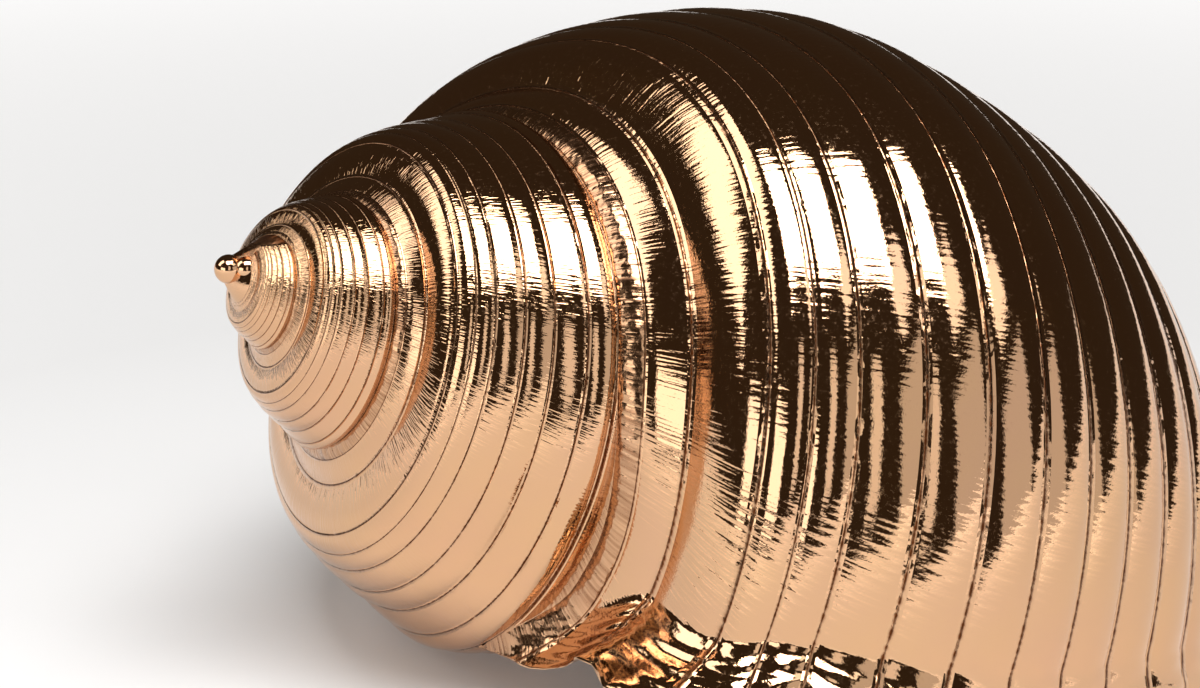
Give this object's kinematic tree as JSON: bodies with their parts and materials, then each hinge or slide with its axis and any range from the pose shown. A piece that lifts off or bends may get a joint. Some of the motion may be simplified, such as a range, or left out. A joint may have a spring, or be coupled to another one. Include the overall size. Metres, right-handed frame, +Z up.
{
  "type": "tun shell",
  "caption": "Tun shell in polished bronze lying on its mouth: low stepped spire, big round last whorl with spiral cords, wide open mouth with a flared lip.",
  "frame": {"origin": "middle of the bounding box, on the surface that the shell rests on", "axes": "+Z up as it lies, +X from the tip of the spire towards the base, the lip on the -Y side"},
  "size_m": [0.1538, 0.136, 0.0989],
  "materials": {
    "shell": "mirror-polished bronze"
  },
  "bodies": {
    "root": {"shell": "shell"}
  },
  "joints": []
}
